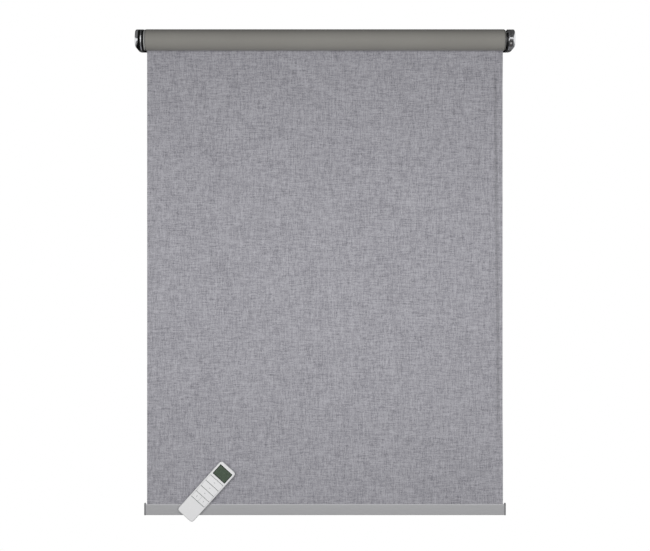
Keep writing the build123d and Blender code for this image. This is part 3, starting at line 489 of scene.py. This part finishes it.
def coated_back():
    """Smooth taupe coating on the reverse of the fabric, with the weave faintly showing through."""
    material, shader = new_material("coated_reverse")
    patches = maths(material, "MULTIPLY", grain(material, scale=7), coat_patches)
    threads = grain(material, scale=1.0, detail=2.0, stretch=(900, 300, 300))
    tone = maths(material, "ADD", patches, maths(material, "MULTIPLY", threads, coat_threads))
    coat = blend_colours(material, tone, srgb(134, 132, 127), srgb(150, 148, 143))
    link(material, coat, shader.inputs["Base Color"])
    link(material, remap(material, threads, low=0.5, high=0.62), shader.inputs["Roughness"])
    shader.inputs["Sheen Weight"].default_value = 0.08
    bump(material, shader, threads, coating_relief, strength=0.4)
    return material


def clear_window():
    """Thin clear screen cover with faint smears."""
    material, shader = new_material("clear_window")
    smears = grain(material, scale=130)
    tint = blend_colours(material, smears, srgb(60, 62, 60), srgb(84, 86, 84))
    link(material, tint, shader.inputs["Base Color"])
    gloss = remap(material, smears, low=0.05, high=0.12, start=0.4, end=0.8)
    link(material, gloss, shader.inputs["Roughness"])
    film = remap(material, smears, low=0.08, high=0.13, start=0.4, end=0.8)
    link(material, film, shader.inputs["Alpha"])
    return material


def display_panel():
    """Unlit grey-green liquid crystal panel, with the shade of the recessed window painted as a
    darker rim.
    """
    material, shader = new_material("display_panel")
    place = add(material, "ShaderNodeVectorMath", operation="SUBTRACT")
    link(material, position(material), place.inputs[0])
    place.inputs[1].default_value = centre_of("remote_display")
    turned = add(material, "ShaderNodeVectorRotate", rotation_type="Y_AXIS", Angle=-remote_tilt)
    link(material, place.outputs["Vector"], turned.inputs["Vector"])
    across, _, up = xyz(material, turned.outputs["Vector"])
    shade_sides = []
    for way, clear in ((across, display_clear_x), (up, display_clear_z)):
        from_middle = maths(material, "ABSOLUTE", way)
        shade_sides.append(remap(material, from_middle, 0.0, 1.0, start=clear, end=clear + display_fade))
    painted_rim_shade = maths(material, "MAXIMUM", *shade_sides)
    dots = grain(material, scale=2500, detail=1.0)
    cells = blend_colours(material, dots, srgb(83, 98, 82), srgb(92, 108, 91))
    # Painted shade: the rim of the panel is darkened where the recessed window would shade it
    link(material, blend_colours(material, painted_rim_shade, cells, srgb(38, 44, 40)), shader.inputs["Base Color"])
    gloss = remap(material, grain(material, scale=800, detail=2.0), low=0.25, high=0.4)
    link(material, gloss, shader.inputs["Roughness"])
    return material


def circuit_board():
    """Green board with paler raised tracks."""
    material, shader = new_material("circuit_board")
    tracks = add(material, "ShaderNodeTexVoronoi", Scale=400, distance="CHEBYCHEV")
    link(material, position(material), tracks.inputs["Vector"])
    mask = remap(material, tracks.outputs["Distance"], 0.0, 1.0, start=0.42, end=0.5)
    board = blend_colours(material, mask, srgb(20, 82, 48), srgb(40, 120, 74))
    link(material, board, shader.inputs["Base Color"])
    shader.inputs["Roughness"].default_value = 0.35
    bump(material, shader, mask, track_relief, strength=0.6)
    return material


materials = {
    "black_plastic": moulding("black_plastic", srgb(16, 16, 17), rough=0.42, shine=0.3),
    "chrome_plating": cover_chrome("right_cover", 1),
    "tube_aluminium": metal("tube_aluminium", (0.7, 0.71, 0.72), rough=0.35, brushed=(0.05, 1, 1)),
    "satin_aluminium": bar_finish(),
    "white_plastic": moulding("white_plastic", srgb(225, 224, 220)),
    "blind_fabric": linen(),
    "grey_plastic": moulding("grey_plastic", srgb(170, 170, 168), rough=0.5),
    "dark_plastic": moulding("dark_plastic", srgb(118, 118, 120), rough=0.5),
    "acetal": moulding("acetal", srgb(224, 221, 210), rough=0.4),
    "steel": metal("bright_steel", (0.62, 0.61, 0.6), rough=0.25, brushed=(0.2, 1, 1)),
    "light_lens": moulding("light_lens", srgb(78, 24, 22), rough=0.2),
    "circuit_board": circuit_board(),
    "cell_wrap": moulding("cell_wrap", srgb(38, 92, 150), rough=0.35),
    "remote_white": moulding("remote_white", srgb(232, 232, 233), rough=0.38, speck=0.015),
    "remote_back": moulding("remote_back", srgb(205, 208, 214), rough=0.42, speck=0.02),
    "remote_key": moulding("remote_key", srgb(234, 234, 235), rough=0.36, speck=0.015),
    "screen_window": clear_window(),
    "display": display_panel(),
}
left_plating = cover_chrome("left_cover", -1)
reverse = coated_back()
symbol_ink = moulding("symbol_ink", srgb(120, 122, 126), rough=0.5)
pod_plastic = moulding("pod_plastic", srgb(82, 82, 84), rough=0.4)
crown_plastic = moulding("crown_plastic", srgb(142, 141, 138), rough=0.5)


def dress_nodes():
    """Gives every CAD node the material of its slot, and three nodes their own."""
    for entry in frame["record"]["subparts"]:
        node = frame["nodes"][entry["node"]]
        node.data.materials.clear()
        node.data.materials.append(materials[entry["material_slot"]])
    own = {"motor_head": pod_plastic, "crown_ring": crown_plastic, "left_cover": left_plating}
    for name, material in own.items():
        frame["nodes"][name].data.materials[0] = material


# Meshes


def new_object(name, data):
    """Object with the data, linked to the scene."""
    made = bpy.data.objects.new(name, data)
    bpy.context.scene.collection.objects.link(made)
    return made


def mesh_object(name, vertices, faces, used, smooth=True):
    """Mesh object with its materials."""
    mesh = bpy.data.meshes.new(name)
    mesh.from_pydata(vertices, [], faces)
    mesh.update()
    for material in used:
        mesh.materials.append(material)
    for polygon in mesh.polygons:
        polygon.use_smooth = smooth
    return new_object(name, mesh)


def solid_object(name, loops, material):
    """Closed solid through loops of points, with a face across the first and the last loop."""
    mesh = bmesh.new()
    rings = [[mesh.verts.new(point) for point in loop] for loop in loops]
    for first, second in zip(rings, rings[1:]):
        for n in range(len(first)):
            m = (n + 1) % len(first)
            mesh.faces.new((first[n], first[m], second[m], second[n]))
    mesh.faces.new(rings[0])
    mesh.faces.new(rings[-1])
    bmesh.ops.recalc_face_normals(mesh, faces=mesh.faces)
    data = bpy.data.meshes.new(name)
    mesh.to_mesh(data)
    mesh.free()
    data.materials.append(material)
    return new_object(name, data)


def grid(name, rows, used):
    """Surface through rows of points, all of one length."""
    width = len(rows[0])
    vertices = [point for row in rows for point in row]
    faces = []
    for r in range(len(rows) - 1):
        for c in range(width - 1):
            corner = r * width + c
            faces.append((corner, corner + 1, corner + width + 1, corner + width))
    return mesh_object(name, vertices, faces, used)


def thicken(piece, thickness):
    """Gives a surface its thickness; its second material goes on the rim and the other side."""
    solid = piece.modifiers.new("thickness", "SOLIDIFY")
    solid.thickness = thickness
    solid.offset = 0.0
    solid.use_even_offset = True
    solid.material_offset = 1
    solid.material_offset_rim = 1
    if piece.vertex_groups:
        solid.vertex_group = piece.vertex_groups[0].name
    shading = piece.modifiers.new("shading", "WEIGHTED_NORMAL")
    shading.weight = 100


def smooth_step(value):
    value = max(0.0, min(1.0, value))
    return value * value * (3 - 2 * value)


def sheet_places():
    """Places across the sheet: even, and closer together along the curled right edge."""
    wide = 2 * cloth_half - curl_zone
    places = [-cloth_half + wide * n / sheet_columns for n in range(sheet_columns)]
    places += [cloth_half - curl_zone * (1 - n / curl_columns) for n in range(curl_columns + 1)]
    return places


def edge_curl(x, v):
    """How far the right edge curls to the wall at a share v of the height."""
    from_edge = curl_from_edge_top + (curl_from_edge_foot - curl_from_edge_top) * v
    start = cloth_half - from_edge - curl_width / 2
    held = smooth_step(v / curl_rise) * smooth_step((straight_share - v) / curl_fall)
    return curl_depth * held * smooth_step((x - start) / curl_width)


def belly(x, v):
    """How far the fabric bellies to the wall at a share v of the height."""
    calm = math.sin(math.pi * min(1.0, v / straight_share)) ** belly_evenness
    side = abs(x / cloth_half) ** side_sharpness
    wave = noise.noise(Vector((x * wave_across, v * wave_down, wave_start))) + side_rise * side
    return belly_depth * calm * (belly_floor + belly_wave * wave)


def make_lead():
    """Stretch of fabric that lies on the back of the roll; it thins out to merge with the turns."""
    places = sheet_places()
    off_roll = cloth_plane - tube_centre.y - roll_radius - cloth_thickness / 2
    rows = []
    weights = []
    for n in range(lead_steps + 1):
        share = 1 - n / lead_steps
        angle = wrap_angle * share
        weight = 1 - (1 - lead_end_share) * smooth_step(share)
        gap = max(off_roll * (1 - share) ** 2, lead_gap)
        radius = roll_radius + cloth_thickness * weight / 2 + gap
        y = tube_centre.y + radius * math.cos(angle)
        rows.append([(x, y, radius * math.sin(angle)) for x in places])
        weights.append(weight)
    lead = grid("blind_lead", rows, [reverse, materials["blind_fabric"]])
    thinning = lead.vertex_groups.new(name="thinning")
    for n, weight in enumerate(weights):
        row = range(n * len(places), (n + 1) * len(places))
        thinning.add(list(row), weight, "REPLACE")
    thicken(lead, cloth_thickness)
    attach(lead, "fixed_frame")
    return lead


def make_sheet(lead):
    """Hanging fabric: from the back of the roll straight down into the bar."""
    length = -drop_low.z
    places = sheet_places()
    rows = []
    for r in range(sheet_rows + 1):
        v = r / sheet_rows
        rows.append([(x, cloth_plane + belly(x, v) + edge_curl(x, v), -length * v) for x in places])
    sheet = grid("blind_sheet", rows, [reverse, materials["blind_fabric"]])
    thicken(sheet, cloth_thickness)
    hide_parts("fabric_drop")
    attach(sheet, "fixed_frame")
    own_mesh(sheet)


def make_winding():
    """Turns of fabric that stay on the tube, wound as one spiral."""
    outer = roll_radius - cloth_thickness / 2
    inner = tube_radius + cloth_thickness / 2
    total = turn_count * winding_steps
    rows = []
    for n in range(total + 1):
        turns = n / winding_steps
        angle = 2 * math.pi * turns
        radius = outer - (outer - inner) * n / total
        half = cloth_half + edge_wander * noise.noise(Vector((turns * wander_pace, 0, 0)))
        y = tube_centre.y + radius * math.cos(angle)
        z = radius * math.sin(angle)
        rows.append([(half * share, y, z) for share in (-1, -edge_column, 0, edge_column, 1)])
    winding = grid("fabric_winding", rows, [materials["blind_fabric"], reverse])
    thicken(winding, (outer - inner) / turn_count * turn_fill)
    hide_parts("fabric_roll")
    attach(winding, "roller")


def make_pin_spring():
    """Spring behind the idler pin, which in the real blind shortens as the pin is pushed in; here its
    own copy of the CAD spring, moving with the roller.
    """
    spring = new_object("pin_spring", frame["nodes"]["idler_spring"].data.copy())
    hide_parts("idler_spring")
    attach(spring, "roller")
    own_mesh(spring)


def make_wall_flange(name, bracket, inward):
    """Inner half of a bracket's wall flange, a flat plate behind the roll."""
    low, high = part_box(bracket)
    start = high[0] if inward > 0 else low[0]
    ends = (start - inward * flange_root, start + inward * flange_reach)
    middle = sum(ends) / 2
    half_width = abs(ends[1] - ends[0]) / 2
    half_height = -low[2]
    loops = []
    for inset, y in ((flange_edge, -flange_thickness), (0, flange_edge - flange_thickness), (0, 0)):
        radius = flange_corner - inset
        loop = []
        for n in range(4 * corner_steps):
            angle = 2 * math.pi * (n + 0.5) / (4 * corner_steps)
            side_x = math.copysign(half_width - flange_corner, math.cos(angle))
            side_z = math.copysign(half_height - flange_corner, math.sin(angle))
            x = middle + side_x + radius * math.cos(angle)
            z = side_z + radius * math.sin(angle)
            loop.append((x, y, z))
        loops.append(loop)
    flange = solid_object(name, loops, materials["black_plastic"])
    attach(flange, "fixed_frame")


def stroke_edges(points, half):
    """Points along both edges of a stroke, with mitred corners and square ends."""
    ways = [(end - start).normalized() for start, end in zip(points, points[1:])]
    edges = []
    for n, point in enumerate(points):
        before = ways[max(n - 1, 0)]
        after = ways[min(n, len(ways) - 1)]
        way = (before + after).normalized()
        if n == 0:
            point = point - way * half
        if n == len(ways):
            point = point + way * half
        aside = Vector((-way.z, 0, way.x)) * half / way.dot(after)
        edges.append((point - aside, point + aside))
    return edges


def make_symbol(name, stroke, node):
    """Printed key symbol on the key's face; the stroke is a list of points, in symbol sizes."""
    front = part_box(node)[0][1]
    middle = centre_of(node)
    turn = Matrix.Rotation(remote_tilt, 3, "Y")
    points = [Vector((x, 0, z)) * symbol_size for x, z in stroke]
    sections = []
    for left, right in stroke_edges(points, symbol_stroke / 2):
        section = []
        for corner, depth in ((left, 1), (left, -1), (right, -1), (right, 1)):
            place = turn @ corner
            y = front + depth * symbol_relief
            section.append((middle.x + place.x, y, middle.z + place.z))
        sections.append(section)
    symbol = solid_object(name, sections, symbol_ink)
    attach(symbol, node.replace("remote_", ""))


def make_symbols():
    chevron = [(-1, -chevron_rise), (0, chevron_rise), (1, -chevron_rise)]
    drawings = {
        "up": chevron,
        "stop": [(-dash_reach, 0), (dash_reach, 0)],
        "down": [(x, -z) for x, z in chevron],
        "left": [(-z, x) for x, z in chevron],
        "right": [(z, x) for x, z in chevron],
    }
    for key, stroke in drawings.items():
        make_symbol(f"symbol_{key}", stroke, f"remote_key_{key}")


# Studio


def make_world():
    """White background and a plain even light."""
    world = bpy.data.worlds.new("studio")
    bpy.context.scene.world = world
    world.use_nodes = True
    world.node_tree.nodes.clear()
    rays = add(world, "ShaderNodeLightPath").outputs
    straight = maths(world, "MAXIMUM", rays["Is Camera Ray"], rays["Is Transmission Ray"])
    seen = maths(world, "MAXIMUM", straight, rays["Is Glossy Ray"])
    background = add(world, "ShaderNodeBackground", Color=(1, 1, 1, 1))
    link(world, remap(world, seen, low=world_light, high=1.0), background.inputs["Strength"])
    output = add(world, "ShaderNodeOutputWorld")
    link(world, background.outputs[0], output.inputs["Surface"])


def make_softbox(name, side):
    """Wide lamp, hidden from camera and reflections; side is -1 in the room and 1 behind."""
    lamp = bpy.data.lights.new(name, "AREA")
    lamp.shape = "RECTANGLE"
    lamp.size = lamp_width
    lamp.size_y = lamp_tall
    lamp.energy = lamp_power
    lamp.spread = lamp_spread
    box = new_object(name, lamp)
    place = Vector((0, side * lamp_distance, lamp_level))
    aim = Vector((0, 0, lamp_aim))
    box.location = place
    box.rotation_euler = (aim - place).to_track_quat("-Z", "Y").to_euler()
    box.visible_camera = False
    box.visible_glossy = False


def floor_finish():
    """Plain grey that glows for the camera and fades to white outwards."""
    material, shader = new_material("floor")
    shader.inputs["Base Color"].default_value = (floor_grey, floor_grey, floor_grey, 1)
    shader.inputs["Roughness"].default_value = 0.8
    reach = add(material, "ShaderNodeVectorMath", operation="LENGTH")
    link(material, position(material), reach.inputs[0])
    from_middle = reach.outputs["Value"]
    fade = remap(material, from_middle, floor_white, 1.0, floor_fade_start, floor_half, smooth=True)
    rays = add(material, "ShaderNodeLightPath").outputs
    seen = maths(material, "MULTIPLY", fade, rays["Is Camera Ray"])
    glow = add(material, "ShaderNodeEmission")
    mix = add(material, "ShaderNodeMixShader")
    link(material, seen, mix.inputs["Fac"])
    link(material, shader.outputs[0], mix.inputs[1])
    link(material, glow.outputs[0], mix.inputs[2])
    output = material.node_tree.nodes["Material Output"]
    link(material, mix.outputs[0], output.inputs["Surface"])
    material.cycles.emission_sampling = "NONE"
    return material


def make_floor():
    """Pale floor well below the blind."""
    height = cad_box[0][2] - floor_drop
    signs = ((-1, -1), (1, -1), (1, 1), (-1, 1))
    corners = [(x * floor_half, y * floor_half, height) for x, y in signs]
    floor = mesh_object("floor", corners, [(0, 1, 2, 3)], [floor_finish()], smooth=False)


def make_card(name, low, high, tone):
    """Studio card, flat in one axis, that shows only in reflections; tone is its brightness."""
    flat = [n for n in range(3) if low[n] == high[n]][0]
    first, second = [n for n in range(3) if n != flat]
    corners = []
    for u, v in ((low, low), (high, low), (high, high), (low, high)):
        corner = list(low)
        corner[first] = u[first]
        corner[second] = v[second]
        corners.append(corner)
    material, shader = new_material(name)
    shader.inputs["Base Color"].default_value = (0, 0, 0, 1)
    shader.inputs["Specular IOR Level"].default_value = 0
    shader.inputs["Emission Color"].default_value = (1, 1, 1, 1)
    shader.inputs["Emission Strength"].default_value = tone
    material.cycles.emission_sampling = "NONE"
    card = mesh_object(name, corners, [(0, 1, 2, 3)], [material], smooth=False)
    card.visible_camera = False
    card.visible_diffuse = False
    card.visible_shadow = False
    card.visible_transmission = False


def make_cards():
    """Dark cards all round, open to the white low at both sides and at the front right."""
    side = 6.0
    front = -6.2
    back = 5.0
    low = -1.38
    high = 6.0
    near = 1.5  # the cards above and below change their tone here, left and right
    far = 4.0  # the cards below end here
    split = 0.2  # the front is open to the right of this
    gap = 2.2  # the black front card ends here on the left
    left_high = 1.3  # foot of the cards on the left
    right_high = 3.9
    open_low = 0.75  # the front right is open from here up to open_high
    open_high = 2.6
    black = 0.006
    deep = 0.07
    dim = 0.17
    grey = 0.3
    cards = {
        "above_far_left": ((-side, front, high), (-near, back, high), dim),
        "above_left": ((-near, front, high), (0, back, high), black),
        "above_right": ((0, front, high), (side, back, high), deep),
        "below_far_left": ((-far, front, low), (-near, back, low), grey),
        "below_left": ((-near, front, low), (0, back, low), black),
        "below_right": ((0, front, low), (near, back, low), dim),
        "below_far_right": ((near, front, low), (far, back, low), grey),
        "back": ((-side, back, low), (side, back, high), deep),
        "front_left": ((-gap, front, low), (split, front, high), black),
        "front_top_left": ((-side, front, left_high), (-gap, front, high), dim),
        "front_low": ((split, front, low), (side, front, open_low), dim),
        "front_high": ((split, front, open_high), (side, front, high), deep),
        "left_high": ((-side, front, left_high), (-side, back, high), dim),
        "right_high": ((side, front, right_high), (side, back, high), dim),
    }
    for name, card in cards.items():
        make_card("card_" + name, *card)


def make_camera():
    data = bpy.data.cameras.new("camera")
    data.sensor_width = sensor_width
    data.lens = camera_focal_px / image_width * sensor_width
    data.clip_end = view_depth
    camera = new_object("camera", data)
    camera.location = (0, tube_centre.y - camera_distance, camera_height)
    camera.rotation_euler = (math.radians(90), 0, 0)
    bpy.context.scene.camera = camera


dress_nodes()
make_sheet(make_lead())
make_pin_spring()
make_winding()
make_wall_flange("left_wall_flange", "left_bracket", 1)
make_wall_flange("right_wall_flange", "right_bracket", -1)
make_symbols()
make_world()
make_floor()
make_cards()
make_softbox("front_softbox", -1)
make_softbox("rear_softbox", 1)
make_camera()
bpy.context.scene.view_settings.view_transform = "Standard"
